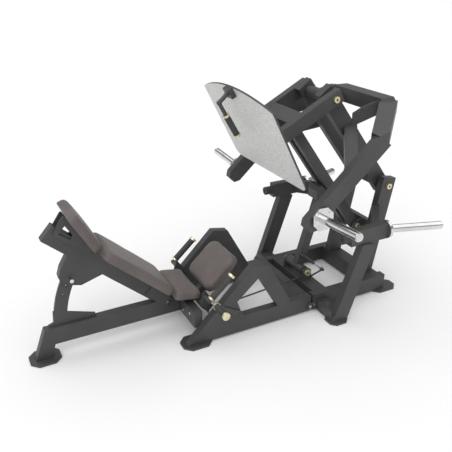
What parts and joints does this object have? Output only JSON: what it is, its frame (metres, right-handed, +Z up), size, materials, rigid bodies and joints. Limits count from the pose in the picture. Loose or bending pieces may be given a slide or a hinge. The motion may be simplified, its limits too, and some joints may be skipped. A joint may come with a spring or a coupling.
{
  "type": "leg press machine",
  "caption": "Plate-loaded angled leg press: adjustable padded backrest on a low spine frame, swinging footplate carriage on a rocker linkage, weight arms, storage horns and a safety strut.",
  "frame": {"origin": "floor level, middle of the machine's length and width", "axes": "+X from the head end towards the weight end, +Y to the side away from the release lever, +Z up"},
  "size_m": [2.43, 1.6036, 1.4062],
  "materials": {
    "frame_paint": "satin charcoal powder coat",
    "leather": "matt upholstery, taupe brown",
    "chrome": "polished",
    "gold_metal": "satin pale gold",
    "rubber": "matt",
    "tread_plate": "fine raised tread"
  },
  "bodies": {
    "frame": {"front_frame_near": "frame_paint", "front_frame_far": "frame_paint", "front_crossbars": "frame_paint", "front_feet": "frame_paint", "spine_tube": "frame_paint", "head_foot": "frame_paint", "adjuster_arc": "frame_paint", "rear_rails": "frame_paint", "rear_crossbars": "frame_paint", "rear_feet": "frame_paint", "rear_leg_near": "frame_paint", "rear_leg_far": "frame_paint", "side_bars": "frame_paint", "bar_bumpers": "rubber", "bar_ties": "frame_paint", "uprights": "frame_paint", "upright_cross_tube": "frame_paint", "link_bracket": "frame_paint", "storage_horns": "chrome", "rocker_pins": "gold_metal", "link_pins": "gold_metal", "hip_pad": "leather", "hip_pad_bracket": "frame_paint", "seat_pad": "leather", "seat_bracket": "frame_paint", "grip_brackets": "frame_paint", "side_grips": "rubber", "grip_trim": "gold_metal", "strut_hub_lugs": "frame_paint", "strut_pin": "gold_metal", "spring_bracket": "frame_paint", "frame_bolts": "chrome", "bolt_plates": "frame_paint"},
    "backrest": {"backrest_tube": "frame_paint", "head_pad_plates": "frame_paint", "back_pad": "leather", "head_pad": "leather"},
    "adjuster_pin": {"adjuster_pin": "chrome"},
    "rocker": {"rocker_tubes": "frame_paint", "rocker_hub": "frame_paint", "lever_bridge": "frame_paint", "lever_braces": "frame_paint", "weight_arms": "frame_paint", "load_horns": "chrome"},
    "carriage": {"footplate": "tread_plate", "carriage_arms": "frame_paint", "carriage_cross_tube": "frame_paint", "footplate_handle": "frame_paint", "handle_grip": "rubber", "handle_trim": "gold_metal", "carriage_pins": "gold_metal", "link_top_pin": "frame_paint"},
    "lower_link": {"lower_link": "frame_paint"},
    "release_lever": {"release_lever": "frame_paint", "release_grip": "rubber", "release_trim": "gold_metal"},
    "pull_rod": {"pull_rod": "frame_paint"},
    "safety_strut": {"safety_strut": "frame_paint"},
    "spring_cylinder": {"spring_cylinder": "frame_paint"},
    "spring_rod": {"spring_rod": "chrome"}
  },
  "joints": [
    {"name": "backrest_tilt", "type": "hinge", "parent": "frame", "child": "backrest", "pos_m": [-0.396, 0, 0.176], "axis": [0, 1, 0], "range_deg": [-10.5, 0]},
    {"name": "adjuster_pin_slide", "type": "slide", "parent": "backrest", "child": "adjuster_pin", "axis": [0, 1, 0], "range_m": [0, 0.024]},
    {"name": "rocker_swing", "type": "hinge", "parent": "frame", "child": "rocker", "pos_m": [1.075, 0, 0.709], "axis": [0, 1, 0], "range_deg": [0, 26]},
    {"name": "footplate_pivot", "type": "hinge", "parent": "rocker", "child": "carriage", "pos_m": [0.611, 0, 1.309], "axis": [0, 1, 0], "range_deg": [-26.7, 0]},
    {"name": "lower_link_pivot", "type": "hinge", "parent": "frame", "child": "lower_link", "pos_m": [0.948, 0, 0.412], "axis": [0, 1, 0], "range_deg": [0, 23]},
    {"name": "release_lever_turn", "type": "hinge", "parent": "frame", "child": "release_lever", "pos_m": [-0.055, 0, 0.14], "axis": [0, 1, 0], "range_deg": [0, 26]},
    {"name": "safety_strut_swing", "type": "hinge", "parent": "frame", "child": "safety_strut", "pos_m": [0.545, 0, 0.17], "axis": [0, 1, 0], "range_deg": [-19.6, 0]},
    {"name": "pull_rod_joint", "type": "hinge", "parent": "release_lever", "child": "pull_rod", "pos_m": [-0.045, -0.197, 0.172], "axis": [0, 1, 0], "range_deg": [-27.2, 0]},
    {"name": "spring_cylinder_joint", "type": "hinge", "parent": "safety_strut", "child": "spring_cylinder", "pos_m": [0.545, -0.058, 0.268], "axis": [0, 1, 0], "range_deg": [0, 13.1]},
    {"name": "spring_rod_joint", "type": "hinge", "parent": "frame", "child": "spring_rod", "pos_m": [0.7, -0.058, 0.134], "axis": [0, 1, 0], "range_deg": [-6.6, 0]}
  ],
  "couplings": [
    {"joint": "footplate_pivot", "follows": "rocker_swing", "ratio": -1.0232},
    {"joint": "lower_link_pivot", "follows": "rocker_swing", "ratio": 0.8782},
    {"joint": "safety_strut_swing", "follows": "release_lever_turn", "ratio": -0.7488},
    {"joint": "pull_rod_joint", "follows": "release_lever_turn", "ratio": -1.0413},
    {"joint": "spring_cylinder_joint", "follows": "release_lever_turn", "ratio": 0.5001},
    {"joint": "spring_rod_joint", "follows": "release_lever_turn", "ratio": -0.2486}
  ]
}
